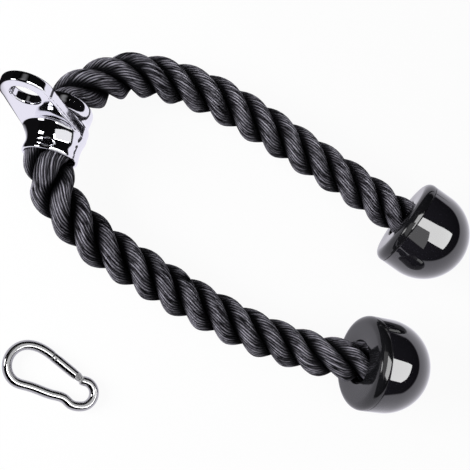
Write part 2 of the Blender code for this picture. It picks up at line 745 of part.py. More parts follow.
def main():
    clear_scene()
    chrome = make_material("chrome plate", (0.80, 0.80, 0.82), 0.06, 1.0)
    rope = make_material("black rope", (0.022, 0.023, 0.027), 0.55, 0.0)
    plastics = {
        "dome": make_material("glossy black dome", (0.010, 0.010, 0.011), 0.06, 0.0),
        "cap": make_material("black cap", (0.016, 0.016, 0.018), 0.18, 0.0),
    }
    metals = {
        "washer": make_material("zinc washer", (0.55, 0.56, 0.58), 0.35, 1.0),
        "ferrule": make_material("steel ferrule", (0.42, 0.43, 0.45), 0.4, 1.0),
        "wire": make_material("satin steel wire", (0.55, 0.55, 0.56), 0.25, 1.0),
        "rivet": make_material("steel pin", (0.60, 0.60, 0.62), 0.3, 1.0),
        "spring": make_material("spring wire", (0.50, 0.50, 0.52), 0.3, 1.0),
    }
    base = new_empty("footprint")
    joints = {}
    bracket = make_bracket(base, chrome)
    ends = {}
    for side, shares, heading, droop in (
        ("upper", UPPER_BALL_SHARES, UPPER_BALL_HEADING, UPPER_BALL_DROOP),
        ("lower", LOWER_BALL_SHARES, LOWER_BALL_HEADING, LOWER_BALL_DROOP),
    ):
        ends[side] = make_ball(side, shares, heading, droop, base, plastics, metals)
    make_rope(base, joints, bracket, rope, ends)
    make_hook(base, joints, metals)
    centre_footprint(base)
    for name, place in joints.items():
        print(name, [round(value, 5) for value in base.matrix_world @ place])


main()
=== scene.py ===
import math

import bpy
import numpy as np
from mathutils import Matrix, Vector


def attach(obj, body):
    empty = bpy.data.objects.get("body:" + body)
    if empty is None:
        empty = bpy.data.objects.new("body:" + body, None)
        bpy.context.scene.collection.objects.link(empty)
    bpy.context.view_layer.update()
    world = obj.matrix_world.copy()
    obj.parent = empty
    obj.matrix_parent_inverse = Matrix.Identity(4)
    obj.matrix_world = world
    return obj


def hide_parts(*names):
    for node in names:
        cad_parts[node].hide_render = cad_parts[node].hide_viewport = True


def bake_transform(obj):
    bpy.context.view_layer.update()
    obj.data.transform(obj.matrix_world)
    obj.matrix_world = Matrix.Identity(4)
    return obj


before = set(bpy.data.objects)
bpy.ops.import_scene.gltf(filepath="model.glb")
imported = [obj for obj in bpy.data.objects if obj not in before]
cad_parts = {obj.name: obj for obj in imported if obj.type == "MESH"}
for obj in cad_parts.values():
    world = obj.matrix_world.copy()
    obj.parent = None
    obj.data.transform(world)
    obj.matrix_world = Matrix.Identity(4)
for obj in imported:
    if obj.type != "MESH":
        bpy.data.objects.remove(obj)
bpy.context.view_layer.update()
print("frame loaded")

bpy.context.scene.view_settings.view_transform = "Standard"

# camera: over the eye's end, looking down on the table, as in the photograph
camera = {
    "place": (-0.209238, -0.129770, 0.534666),
    "right": (0.82459981, 0.34425178, 0.44891633),
    "up": (-0.42521356, 0.90056062, 0.09046547),
    "back": (-0.37313346, -0.26548312, 0.88898264),
    "lens": 65.1,
    "sensor": 36,
    "clip": (0.01, 30),
}


def addObject(name, data):
    obj = bpy.data.objects.new(name, data)
    bpy.context.scene.collection.objects.link(obj)
    return obj


def makeCamera(values):
    data = bpy.data.cameras.new("camera")
    data.lens = values["lens"]
    data.sensor_width = values["sensor"]
    data.clip_start, data.clip_end = values["clip"]
    obj = addObject("camera", data)
    turn = Matrix((values["right"], values["up"], values["back"])).transposed().to_4x4()
    obj.matrix_world = Matrix.Translation(values["place"]) @ turn
    bpy.context.scene.camera = obj


makeCamera(camera)
print("camera placed")


# materials
def plug(tree, socket, value):
    # a socket takes another node's output or a plain value
    if hasattr(value, "links"):
        tree.links.new(value, socket)
    else:
        socket.default_value = value


def feed(tree, node, inputs):
    for label, value in inputs.items():
        plug(tree, node.inputs[label], value)


def addNode(tree, kind, settings=None, **inputs):
    node = tree.nodes.new(kind)
    for key, value in (settings or {}).items():
        setattr(node, key, value)
    feed(tree, node, {key.replace("_", " "): value for key, value in inputs.items()})
    return node


def mathNode(tree, operation, *values):
    node = addNode(tree, "ShaderNodeMath", {"operation": operation})
    for socket, value in zip(node.inputs, values):
        plug(tree, socket, value)
    return node.outputs[0]


def rangeNode(tree, value, given, made=(0.0, 1.0), kind="LINEAR"):
    # moves a value from one range to another and holds it at both ends
    node = addNode(tree, "ShaderNodeMapRange", {"interpolation_type": kind}, Value=value)
    limits = dict(zip(("From Min", "From Max", "To Min", "To Max"), (*given, *made)))
    feed(tree, node, limits)
    return node.outputs["Result"]


def noiseNode(tree, place, scale, detail, roughness=0.5):
    node = addNode(tree, "ShaderNodeTexNoise", Vector=place, Scale=scale, Detail=detail)
    feed(tree, node, {"Roughness": roughness})
    return node.outputs["Fac"]


def mappingNode(tree, place, **changes):
    return addNode(tree, "ShaderNodeMapping", Vector=place, **changes).outputs["Vector"]


def bumpNode(tree, height, strength, distance):
    node = addNode(tree, "ShaderNodeBump", Height=height, Strength=strength, Distance=distance)
    return node.outputs["Normal"]


def newMaterial(name, inputs):
    material = bpy.data.materials.new(name)
    material.use_nodes = True
    tree = material.node_tree
    shader = tree.nodes["Principled BSDF"]
    feed(tree, shader, inputs)
    return material, tree, shader


def newGroup(name, inputs, outputs):
    # an effect that several materials share: floats in, masks, roughness and normals out
    group = bpy.data.node_groups.new(name, "ShaderNodeTree")
    add = group.interface.new_socket
    for label, value in inputs.items():
        socket = add(name=label, in_out="INPUT", socket_type="NodeSocketFloat")
        socket.default_value = value
    for label, kind in outputs.items():
        add(name=label, in_out="OUTPUT", socket_type="NodeSocket" + kind)
    return group, group.nodes.new("NodeGroupInput"), group.nodes.new("NodeGroupOutput")


# fine scratches, faint smears and a slow waviness, as on anything polished and handled
handling = {
    "scale": 60.0,
    "smears": 0.04,
    "scratchScale": 900.0,
    "scratchStretch": (1.0, 9.0, 3.0),
    "scratchTurn": (0.4, 0.7, 0.3),
    "scratchRange": (0.62, 0.8),
    "scratchRoughness": 0.12,
    "waveScale": 45.0,
    "waviness": 0.1,
    "waveHeight": 0.001,
    "smooth": 0.05,
}


def makeHandlingMarks(values):
    group, given, made = newGroup(
        "handlingMarks",
        {label: values[label.lower()] for label in ("Scale", "Smears", "Waviness", "Smooth")},
        {"Roughness": "Float", "Speck": "Float", "Normal": "Vector"},
    )
    given = given.outputs
    place = addNode(group, "ShaderNodeTexCoord").outputs["Object"]
    stretched = mappingNode(
        group, place, Scale=values["scratchStretch"], Rotation=values["scratchTurn"]
    )
    smear = noiseNode(group, place, given["Scale"], 4.0)
    scratch = noiseNode(group, stretched, values["scratchScale"], 3.0)
    wave = noiseNode(group, place, values["waveScale"], 1.0)
    speck = rangeNode(group, scratch, values["scratchRange"])
    smeared = mathNode(group, "MULTIPLY", smear, given["Smears"])
    scratched = mathNode(group, "MULTIPLY", speck, values["scratchRoughness"])
    both = mathNode(group, "ADD", smeared, scratched)
    total = mathNode(group, "ADD", both, given["Smooth"])
    bump = bumpNode(group, wave, given["Waviness"], values["waveHeight"])
    feed(group, made, {"Roughness": total, "Speck": speck, "Normal": bump})
    return group


handlingMarks = makeHandlingMarks(handling)

# plated, moulded and turned finishes: their colour, the colour of their fine scratches, how
# smooth they are and how much smears add to that
finishes = {
    "chrome plate": {
        "colour": (0.84, 0.84, 0.88), "worn": (0.74, 0.74, 0.78),
        "metallic": 1.0, "smooth": 0.03, "smears": 0.05, "waviness": 0.06, "coat": 0.0,
    },
    "gloss black": {
        "colour": (0.008, 0.0075, 0.010), "worn": (0.012, 0.012, 0.014),
        "metallic": 0.0, "smooth": 0.03, "smears": 0.03, "waviness": 0.02, "coat": 1.0,
    },
    "cap black": {
        "colour": (0.006, 0.006, 0.007), "worn": (0.010, 0.010, 0.011),
        "metallic": 0.0, "smooth": 0.08, "smears": 0.05, "waviness": 0.03, "coat": 0.15,
    },
    "satin steel": {
        "colour": (0.44, 0.44, 0.445), "worn": (0.34, 0.34, 0.35),
        "metallic": 1.0, "smooth": 0.08, "smears": 0.10, "waviness": 0.10, "coat": 0.0,
    },
    "pin steel": {
        "colour": (0.20, 0.20, 0.205), "worn": (0.14, 0.14, 0.145),
        "metallic": 1.0, "smooth": 0.22, "smears": 0.1, "waviness": 0.2, "coat": 0.0,
    },
    "zinc plate": {
        "colour": (0.55, 0.56, 0.58), "worn": (0.42, 0.43, 0.46),
        "metallic": 1.0, "smooth": 0.3, "smears": 0.15, "waviness": 0.3, "coat": 0.0,
    },
    "spring wire": {
        "colour": (0.50, 0.50, 0.52), "worn": (0.36, 0.36, 0.38),
        "metallic": 1.0, "smooth": 0.28, "smears": 0.1, "waviness": 0.1, "coat": 0.0,
    },
}


def polished(name, values):
    material, tree, shader = newMaterial(
        name, {"Metallic": values["metallic"], "Coat Weight": values["coat"]}
    )
    own = {label: values[label.lower()] for label in ("Smears", "Waviness", "Smooth")}
    marks = addNode(tree, "ShaderNodeGroup", {"node_tree": handlingMarks}, **own).outputs
    colours = {"A": (*values["colour"], 1), "B": (*values["worn"], 1)}
    blend = addNode(tree, "ShaderNodeMix", {"data_type": "RGBA"}, Factor=marks["Speck"], **colours)
    feed(tree, shader, {"Base Color": blend.outputs["Result"]})
    feed(tree, shader, {"Roughness": marks["Roughness"], "Normal": marks["Normal"]})
    return material


finish = {name: polished(name, values) for name, values in finishes.items()}

# black filament yarn: fine fibres that run along the yarns, which the UV map follows, with a
# painted sheen in the bright fibres' pale colour, and painted shade in the grooves between yarns
# and between strands
filament = {
    "fibreScale": (380.0, 230.0, 1.0),
    "bundleScale": (72.0, 60.0, 1.0),
    "yarnsRound": 72.0,  # the yarns of all three strands
    "paintedGrooveShade": (0.10, 0.44),  # painted shade from a groove to a yarn's crown, where half a yarn is 0.5
    # how much light the painted shade leaves at the bottom of a groove
    "grooveLight": 0.17,
    "fibreRange": (0.16, 0.34),
    "strandShadeRange": (0.68, 1.0),  # shares of the rope's radius between full painted shade and full light, deep between the strands
    # the rope's own black, and the bright fibres' pale colour, a painted sheen
    "dark": (0.0015, 0.0015, 0.002),
    "paintedFibreSheen": (0.31, 0.299, 0.352),
    "specular": (0.08, 0.8),  # in the dark and on a bright fibre
    "roughness": (0.75, 0.28),
    "bump": 0.8,
    "bumpHeight": 0.0004,
}


def makeRopeMaterial(values):
    material, tree, shader = newMaterial("laid rope", {})
    uv = addNode(tree, "ShaderNodeUVMap", {"uv_map": "yarn"}).outputs["UV"]
    fibre = noiseNode(tree, mappingNode(tree, uv, Scale=values["fibreScale"]), 1.0, 2.0, 0.6)
    bundle = noiseNode(tree, mappingNode(tree, uv, Scale=values["bundleScale"]), 1.0, 1.0)
    across = addNode(tree, "ShaderNodeSeparateXYZ", Vector=uv).outputs["X"]
    yarns = mathNode(tree, "MULTIPLY", across, values["yarnsRound"])
    crown = mathNode(tree, "PINGPONG", yarns, 0.5)
    # painted shade in the grooves between yarns, none on their crowns
    paintedGrooveShade = rangeNode(tree, crown, values["paintedGrooveShade"], (values["grooveLight"], 1.0), "SMOOTHSTEP")
    mixed = mathNode(tree, "MULTIPLY", fibre, bundle)
    fibres = rangeNode(tree, mixed, values["fibreRange"])
    onYarns = mathNode(tree, "MULTIPLY", fibres, paintedGrooveShade)
    # painted shade deep between the strands, from how far out each point lies
    depth = addNode(tree, "ShaderNodeAttribute", {"attribute_name": "depth"}).outputs["Fac"]
    outside = rangeNode(tree, depth, values["strandShadeRange"], kind="SMOOTHSTEP")
    lit = mathNode(tree, "MULTIPLY", onYarns, outside)
    # colour from the rope's black to the painted sheen on bright fibres
    tone = addNode(tree, "ShaderNodeValToRGB", Fac=lit)
    for element, colour in zip(tone.color_ramp.elements, (values["dark"], values["paintedFibreSheen"])):
        element.color = (*colour, 1)
    made = {
        "Base Color": tone.outputs["Color"],
        "Specular IOR Level": rangeNode(tree, lit, (0.0, 1.0), values["specular"]),
        "Roughness": rangeNode(tree, lit, (0.0, 1.0), values["roughness"]),
        "Normal": bumpNode(tree, fibre, values["bump"], values["bumpHeight"]),
    }
    feed(tree, shader, made)
    return material


ropeMaterial = makeRopeMaterial(filament)
print("materials made")


# rope: one length of three strands, doubled through the bracket
rope = {
    "diameter": 0.028,
    "bulge": 0.52,  # the strands' outer roundness, as a share of the rope's radius
    "heart": 0.50,  # and where their own middles are
    "corners": 9.0,  # how sharply a strand's round turns into its flats
    "gap": 0.0002,
    "yarns": 24,
    "yarnProfile": (-1.0, 0.35, 1.0, 0.35),  # heights round one yarn, from groove to groove
    "yarnHeight": 0.00048,
    "yarnTwist": 1.65,  # turns of the yarns back for one of the strand
    "lineStep": 0.001,
    "ringStep": 0.0019,
    "pathSkip": 8,  # every so many points of a leg's line
    "handOver": 0.006,  # how far inside the mouth the legs take over from the crown
    "flex": 0.0275,
    "upperMouthWay": (0.02454, 0.97304, -0.22932),
    "upperBallWay": (-0.90991, 0.25063, -0.33051),
    "upper": [
        (-0.1304, 0.0483, 0.0170), (-0.1303, 0.0517, 0.0162), (-0.1256, 0.0634, 0.0166),
        (-0.1144, 0.0790, 0.0166), (-0.1012, 0.0904, 0.0161), (-0.0762, 0.1003, 0.0153),
        (-0.0468, 0.1065, 0.0150), (-0.0182, 0.1073, 0.0150), (0.0182, 0.1060, 0.0150),
        (0.0520, 0.1037, 0.0156), (0.0780, 0.1008, 0.0187), (0.1041, 0.0965, 0.0233),
        (0.1168, 0.0930, 0.0279), (0.1296, 0.0895, 0.0325), (0.1521, 0.0833, 0.0407),
    ],
    "lowerMouthWay": (0.13523, -0.98927, 0.05529),
    "lowerBallWay": (-0.96599, -0.24085, -0.09411),
    "lower": [
        (-0.1284, 0.0124, 0.0222), (-0.1279, 0.0089, 0.0224), (-0.1220, 0.0015, 0.0202),
        (-0.1142, -0.0063, 0.0184), (-0.1022, -0.0123, 0.0166), (-0.0775, -0.0211, 0.0158),
        (-0.0484, -0.0248, 0.0156), (-0.0182, -0.0281, 0.0158), (0.0143, -0.0305, 0.0169),
        (0.0468, -0.0315, 0.0195), (0.0806, -0.0292, 0.0234), (0.1041, -0.0263, 0.0309),
        (0.1176, -0.0229, 0.0322), (0.1311, -0.0195, 0.0335), (0.1551, -0.0135, 0.0359),
    ],
    "middle": (-0.13085, 0.03049, 0.02122),
    # turns of the lay at distances from each mouth towards the ball
    "lowerTurns": [
        (0, 0.11), (0.011, -0.043), (0.046, -0.544), (0.089, -1.203), (0.130, -1.861),
        (0.173, -2.520), (0.217, -3.179), (0.249, -3.666), (0.3012, -4.45),
    ],
    "upperTurns": [
        (0, 0.613), (0.014, 0.841), (0.051, 1.521), (0.093, 2.215), (0.139, 2.895),
        (0.185, 3.561), (0.233, 4.227), (0.269, 4.737), (0.315, 5.39),
    ],
    # the rope's radius at distances from each mouth, negative inside the bracket
    "lowerRadii": [
        (-0.0183, 0.0143), (-0.010, 0.0144), (-0.004, 0.0151), (0, 0.0156), (0.012, 0.0152),
        (0.026, 0.0148), (0.262, 0.0148), (0.272, 0.0144), (0.2765, 0.0141), (0.3012, 0.0141),
    ],
    "upperRadii": [
        (-0.0183, 0.0143), (-0.010, 0.0144), (-0.004, 0.0151), (0, 0.0156), (0.012, 0.0152),
        (0.026, 0.0148), (0.276, 0.0148), (0.286, 0.0144), (0.2905, 0.0141), (0.315, 0.0141),
    ],
}


def smoothCurve(points, startWay, endWay, step, perSpan=24):
    # the cubic spline that part.py lays through the same points
    knots = np.array(points, float)
    spans = np.linalg.norm(np.diff(knots, axis=0), axis=1)
    count = len(knots)
    system = np.eye(count)
    wanted = np.zeros_like(knots)
    wanted[0] = startWay
    wanted[-1] = endWay
    for k in range(1, count - 1):
        system[k, k - 1] = spans[k]
        system[k, k] = 2 * (spans[k - 1] + spans[k])
        system[k, k + 1] = spans[k - 1]
        wanted[k] = 3 * (
            (knots[k] - knots[k - 1]) * spans[k] / spans[k - 1]
            + (knots[k + 1] - knots[k]) * spans[k - 1] / spans[k]
        )
    slopes = np.linalg.solve(system, wanted)
    fine = []
    for k, span in enumerate(spans):
        for t in np.linspace(0, 1, perSpan, endpoint=False):
            fine.append(
                (2 * t**3 - 3 * t**2 + 1) * knots[k]
                + (t**3 - 2 * t**2 + t) * span * slopes[k]
                + (3 * t**2 - 2 * t**3) * knots[k + 1]
                + (t**3 - t**2) * span * slopes[k + 1]
            )
    fine.append(knots[-1])
    return evenly(np.array(fine), step)


def runOf(points):
    # how far along the line each point is
    return np.concatenate([[0], np.cumsum(np.linalg.norm(np.diff(points, axis=0), axis=1))])


def lookUp(mark, marked, table):
    # the table's row at a mark, or its rows at several
    return np.stack([np.interp(mark, marked, column) for column in table.T], axis=-1)


def evenly(points, step):
    run = runOf(points)
    marks = np.linspace(0, run[-1], max(2, round(run[-1] / step)) + 1)
    return lookUp(marks, run, points)


def transported(points):
    # two cross directions at each point that turn as little as they can along the line
    ways = np.gradient(points, axis=0)
    ways /= np.linalg.norm(ways, axis=1)[:, None]
    side = np.cross(ways[0], (0, 0, 1.0))
    side /= np.linalg.norm(side)
    sides = []
    for way in ways:
        side = side - way * side.dot(way)
        side /= np.linalg.norm(side)
        sides.append(side)
    sides = np.array(sides)
    return sides, np.cross(ways, sides)


def strandOutline(values, count=720):
    # a strand's section, for a rope of radius 1: round outside, pressed flat where strands meet
    bulge, heart, corners = values["bulge"], values["heart"], values["corners"]
    flatTurn, tiny = math.pi / 3, 1e-6
    angles = np.linspace(0, 2 * math.pi, count, endpoint=False)
    x, y = np.cos(angles), np.sin(angles)
    away = heart - (1 - bulge)
    toRound = -away * x + np.sqrt((away * x) ** 2 + bulge**2 - away**2)
    reach = toRound**-corners
    for flip in (-1, 1):
        # the flat side runs from the rope's middle outwards at 60 degrees
        normal = (-math.sin(flatTurn), flip * math.cos(flatTurn))
        room = heart * math.sin(flatTurn) - values["gap"] / values["diameter"]
        slope = normal[0] * x + normal[1] * y
        reach = reach + np.where(slope > tiny, (np.maximum(slope, tiny) / room) ** corners, 0)
    reach = reach ** (-1 / corners)
    outline = np.stack([heart + reach * x, reach * y], axis=1)
    closed = np.concatenate([outline, outline[:1]])
    run = runOf(closed)
    return closed, run / run[-1]


def strandRings(values, start, end):
    # rings of points for the three strands between two places along the whole rope, and how far
    # out each point is as a share of the rope's radius
    line, sides, ups, run, turns, radii = wholeRope
    outline, share = strandOutline(values)
    marks = np.linspace(start, end, max(2, round((end - start) / values["ringStep"])) + 1)
    heights = np.tile(values["yarnProfile"], values["yarns"]) * values["yarnHeight"]
    around = np.arange(len(heights)) / len(heights)
    normals = np.gradient(outline[:-1], axis=0)
    normals = np.stack([normals[:, 1], -normals[:, 0]], axis=1)
    normals /= np.linalg.norm(normals, axis=1)[:, None]
    normals = np.concatenate([normals, normals[:1]])
    rings, depths = [], []
    for mark in marks:
        turn = np.interp(mark, run, turns)
        radius = np.interp(mark, run, radii)
        centre, side, up = (lookUp(mark, run, table) for table in (line, sides, ups))
        places = (around - values["yarnTwist"] * turn) % 1
        flat = lookUp(places, share, outline) * radius
        out = lookUp(places, share, normals)
        flat = flat + out * (heights[:, None] - values["yarnHeight"])
        ring = []
        for strand in range(3):
            angle = 2 * math.pi * (turn + strand / 3)
            cos, sin = math.cos(angle), math.sin(angle)
            alongSide = flat[:, :1] * cos - flat[:, 1:] * sin
            alongUp = flat[:, :1] * sin + flat[:, 1:] * cos
            ring.append(centre + alongSide * side + alongUp * up)
        rings.append(ring)
        depths.append(np.hypot(flat[:, 0], flat[:, 1]) / radius)
    return np.array(rings), np.array(depths), marks


def makeStrands(name, values, start, end, material):
    rings, depths, marks = strandRings(values, start, end)
    vertices, faces, uvs = [], [], []
    count, across = depths.shape
    for strand in range(3):
        base = len(vertices)
        vertices += [tuple(p) for p in rings[:, strand].reshape(-1, 3)]
        for k in range(count - 1):
            for j in range(across):
                after = (j + 1) % across
                low, high = base + k * across, base + (k + 1) * across
                faces.append((low + j, low + after, high + after, high + j))
                left, right = (strand + j / across) / 3, (strand + (j + 1) / across) / 3
                back, ahead = marks[k], marks[k + 1]
                uvs += [(left, back), (right, back), (right, ahead), (left, ahead)]
        for ring, turnBack in ((0, True), (count - 1, False)):
            corner = base + ring * across
            cap = [corner + j for j in range(across)]
            faces.append(tuple(reversed(cap)) if turnBack else tuple(cap))
            uvs += [(strand / 3, marks[ring])] * across
    mesh = bpy.data.meshes.new(name)
    mesh.from_pydata(vertices, [], faces)
    layer = mesh.uv_layers.new(name="yarn")
    layer.data.foreach_set("uv", np.array(uvs, float).reshape(-1))
    # how far out each point lies, which the rope material turns into painted shade between strands
    depth = mesh.attributes.new("depth", "FLOAT", "POINT")
    depth.data.foreach_set("value", np.tile(depths.reshape(-1), 3))
    mesh.shade_smooth()
    mesh.materials.append(material)
    return addObject(name, mesh)


def layWholeRope(values):
    # from the cut end in the lower ball through the bracket to the one in the upper ball
    lower, upper = (
        smoothCurve(
            values[leg],
            values[leg + "MouthWay"],
            -np.array(values[leg + "BallWay"]),
            values["lineStep"],
        )
        for leg in ("lower", "upper")
    )
    crown = smoothCurve(
        [values["lower"][0], values["middle"], values["upper"][0]],
        -np.array(values["lowerMouthWay"]),
        values["upperMouthWay"],
        values["lineStep"],
    )
    line = np.concatenate([lower[::-1], crown[1:-1], upper])
    lowerLength, crownLength, upperLength = (runOf(part)[-1] for part in (lower, crown, upper))
    run = runOf(line)
    corners = np.cumsum([0, lowerLength, crownLength, upperLength])

    def spread(what):
        low = [(corners[1] - far, value) for far, value in reversed(values["lower" + what])]
        high = [(corners[2] + far, value) for far, value in values["upper" + what]]
        table = np.array(low + high)
        return np.interp(run, table[:, 0], table[:, 1])

    sides, ups = transported(line)
    return (line, sides, ups, run, spread("Turns"), spread("Radii")), corners, lower, upper


wholeRope, ropeCorners, lowerLine, upperLine = layWholeRope(rope)
lowerEnd, upperEnd = ropeCorners[0], ropeCorners[3]
lowerJoin, upperJoin = ropeCorners[1] + rope["handOver"], ropeCorners[2] - rope["handOver"]
ropeLower = makeStrands("ropeLower", rope, lowerEnd, lowerJoin, ropeMaterial)
ropeCrown = makeStrands("ropeCrown", rope, lowerJoin, upperJoin, ropeMaterial)
ropeUpper = makeStrands("ropeUpper", rope, upperJoin, upperEnd, ropeMaterial)

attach(ropeCrown, "bracket")
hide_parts("rope_crown")
print("rope laid")


def aimed(place, way):
    # stands at the place with Z along the way
    return Matrix.Translation(place) @ Vector(way).to_track_quat("Z", "Y").to_matrix().to_4x4()


# shaping by hand: one piece at a time, with its parts picked by their place
near = 1e-5  # parts this close to a wanted place are picked
onCircle = 1e-4  # and edges this close to an inset circle
flatOn = 0.99  # and faces whose normals point this much the wanted way
creaseAngle = 35  # sharper edges stay sharp when a piece is shaded smooth
standing = (math.pi / 2, 0, 0)  # turns a primitive's axis from Z to Y
lying = (0, math.pi / 2, 0)  # and from Z to X


def pick(obj, kind, wanted):
    bpy.ops.mesh.select_mode(type=kind)
    bpy.ops.mesh.select_all(action="DESELECT")
    bpy.ops.object.mode_set(mode="OBJECT")
    mesh = obj.data
    if kind == "VERT":
        for vertex in mesh.vertices:
            vertex.select = bool(wanted(vertex.co))
    elif kind == "EDGE":
        for edge in mesh.edges:
            ends = [mesh.vertices[index].co for index in edge.vertices]
            edge.select = all(wanted(end) for end in ends)
    else:
        for face in mesh.polygons:
            face.select = bool(wanted(face.center, face.normal))
    bpy.ops.object.mode_set(mode="EDIT")


def extrude(x, y, z):
    bpy.ops.mesh.extrude_region_move(TRANSFORM_OT_translate={"value": (x, y, z)})


def bevel(width, steps):
    bpy.ops.mesh.bevel(offset=width, segments=steps, affect="EDGES")


def selectOnly(obj):
    bpy.ops.object.select_all(action="DESELECT")
    obj.select_set(True)
    bpy.context.view_layer.objects.active = obj


def startPiece(name, add, **values):
    bpy.ops.object.select_all(action="DESELECT")
    add(**values)
    obj = bpy.context.object
    obj.name = obj.data.name = name
    bpy.ops.object.transform_apply(location=True, rotation=True, scale=True)
    return obj


def addPin(name, radius, length, around, **where):
    size = {"vertices": around, "radius": radius, "depth": length}
    return startPiece(name, bpy.ops.mesh.primitive_cylinder_add, **size, **where)


def useModifier(obj, kind, **settings):
    bpy.context.view_layer.objects.active = obj
    modifier = obj.modifiers.new(kind.lower(), kind)
    for key, value in settings.items():
        setattr(modifier, key, value)
    bpy.ops.object.modifier_apply(modifier=modifier.name)


def roundEdges(obj, width, steps, sharp):
    # only edges that turn by more than so many degrees
    limit = {"limit_method": "ANGLE", "angle_limit": math.radians(sharp)}
    useModifier(obj, "BEVEL", width=width, segments=steps, **limit)


def cut(obj, tool, operation="DIFFERENCE"):
    useModifier(obj, "BOOLEAN", operation=operation, object=tool, solver="EXACT")
    bpy.data.objects.remove(tool, do_unlink=True)


def tidyMesh(obj, merge=0.000002):
    selectOnly(obj)
    bpy.ops.object.mode_set(mode="EDIT")
    bpy.ops.mesh.select_all(action="SELECT")
    bpy.ops.mesh.remove_doubles(threshold=merge)
    bpy.ops.mesh.normals_make_consistent(inside=False)
    bpy.ops.object.mode_set(mode="OBJECT")


def settle(obj, place, material, body, node, creases=True):
    # puts the piece where its node is, with its place in its mesh, and dresses it
    obj.matrix_world = place
    selectOnly(obj)
    bpy.ops.object.transform_apply(location=True, rotation=True, scale=True)
    if creases:
        bpy.ops.object.shade_smooth_by_angle(angle=math.radians(creaseAngle))
    else:
        bpy.ops.object.shade_smooth()
    obj.data.materials.clear()
    obj.data.materials.append(material)
    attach(obj, body)
    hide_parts(node)


# bracket: a flared sleeve with a ridge round its middle, and the plate with the eye; the eye
# is towards -X and the sleeve's halves are towards -Y and +Y
bracket = {
    "place": (
        (0.67469, -0.05574, 0.736, -0.13085),
        (-0.06853, 0.98811, 0.13765, 0.03049),
        (-0.73491, -0.14331, 0.66284, 0.02122),
        (0, 0, 0, 1),
    ),
    "half": 0.0183,  # from the middle to each mouth
    "bend": 6.8,  # degrees that each half leans back from the plate
    "bendDone": 0.4,  # the share of a half where its sections have turned as far
    "ridgeEye": 0.0212,  # the ridge that carries the plate, on the eye's side
    "neckEye": 0.0164,
    "barrelLeg": 0.0186,  # on the legs' side the sleeve is a plain barrel
    "lip": 0.0175,
    "lipWall": 0.0014,
    "neckShare": 0.60,  # the neck's place, as a share of the way from the ridge to the mouth
    "rollShare": 0.91,  # from there to the mouth the lip rolls over
    "roll": 0.0006,
    "bore": 0.0146,
    "flareStart": 0.5,
    "plateEnd": 0.0160,
    "eyeReach": 0.0443,
    "eyeHole": 0.0089,
    "plateThick": 0.0070,
    "plateEdge": 0.0022,
    "plateBase": (-0.0013, 0.0401),  # where the plate ends inside the ridge, and its width there
    "wayWall": 0.0014,  # the plate is cut back this far round the bore
    # shares of a half at which the sleeve has a section, outside to the middle and inside
    "outside": (
        1, 0.985, 0.96, 0.93, 0.89, 0.84, 0.78, 0.72, 0.65, 0.58, 0.5, 0.43, 0.36, 0.3, 0.25,
        0.215, 0.192, 0.15, 0.1, 0.05,
    ),
    "inside": (1.0, 0.95, 0.85, 0.75, 0.65, 0.5, 0.4, 0.2),
    "round": 128,
    "plateRound": 192,
    "wayRound": 64,
    "edgeAngle": 40,
    "edgeSteps": 8,
    "voxel": 0.00042,
    "smoothing": 5,
}


def sleeveSection(values, share, bore=False):
    # the middle, the radius and the turn of the sleeve's section at a share of its half
    side = -1 if share < 0 else 1
    far = abs(share)
    bend = math.radians(values["bend"])
    if bore:
        opened = max(0, far - values["flareStart"]) / (1 - values["flareStart"])
        wide = values["lip"] - values["lipWall"]
        leg = eye = values["bore"] + (wide - values["bore"]) * opened**2
    else:
        ridgeShare = values["plateThick"] / 2 / values["half"]
        ridge, neck, lip = values["ridgeEye"], values["neckEye"], values["lip"]
        if far <= ridgeShare:
            eye = ridge
        elif far < values["neckShare"]:
            fallen = (far - ridgeShare) / (values["neckShare"] - ridgeShare)
            eye = neck + (ridge - neck) * (1 - fallen) ** 2
        elif far < values["rollShare"]:
            flare = (far - values["neckShare"]) / (values["rollShare"] - values["neckShare"])
            eye = neck + (lip - neck) * (1 - math.cos(math.pi * flare)) / 2
        else:
            rolled = (far - values["rollShare"]) / (1 - values["rollShare"])
            eye = lip - values["roll"] * rolled**2
        leg = lip + (values["barrelLeg"] - lip) * (1 + math.cos(math.pi * far)) / 2
    turn = side * bend * min(1, far / values["bendDone"])
    middle = Vector((math.sin(bend), side * math.cos(bend), 0)) * values["half"] * far
    middle -= Vector((math.cos(turn), -math.sin(turn), 0)) * (eye - leg) / 2
    return middle, (eye + leg) / 2, -turn


def makeSleeve(values):
    # a ring that is extruded along the outside from one mouth to the other, and back inside
    sleeve = startPiece(
        "eyeBracket",
        bpy.ops.mesh.primitive_circle_add,
        vertices=values["round"],
        radius=1,
        rotation=standing,
    )
    outside, inside = list(values["outside"]), list(values["inside"])
    outside = [-share for share in outside] + [0] + outside[::-1]
    inside = inside + [0] + [-share for share in inside[::-1]]
    sections = [sleeveSection(values, share) for share in outside]
    sections += [sleeveSection(values, share, bore=True) for share in inside]
    bpy.ops.object.mode_set(mode="EDIT")
    bpy.ops.mesh.select_all(action="SELECT")
    before, size, facing = Vector(), 1, 0
    for number, (middle, radius, turn) in enumerate(sections):
        if number:
            bpy.ops.mesh.extrude_region_move()
        bpy.ops.transform.translate(value=middle - before)
        bpy.ops.transform.resize(value=[radius / size] * 3, center_override=middle)
        if turn != facing:
            bpy.ops.transform.rotate(value=facing - turn, orient_axis="Z", center_override=middle)
        before, size, facing = middle, radius, turn
    bpy.ops.mesh.select_mode(type="EDGE")
    bpy.ops.mesh.select_all(action="DESELECT")
    bpy.ops.mesh.select_non_manifold()
    bpy.ops.mesh.bridge_edge_loops()
    bpy.ops.object.mode_set(mode="OBJECT")
    tidyMesh(sleeve)
    return sleeve


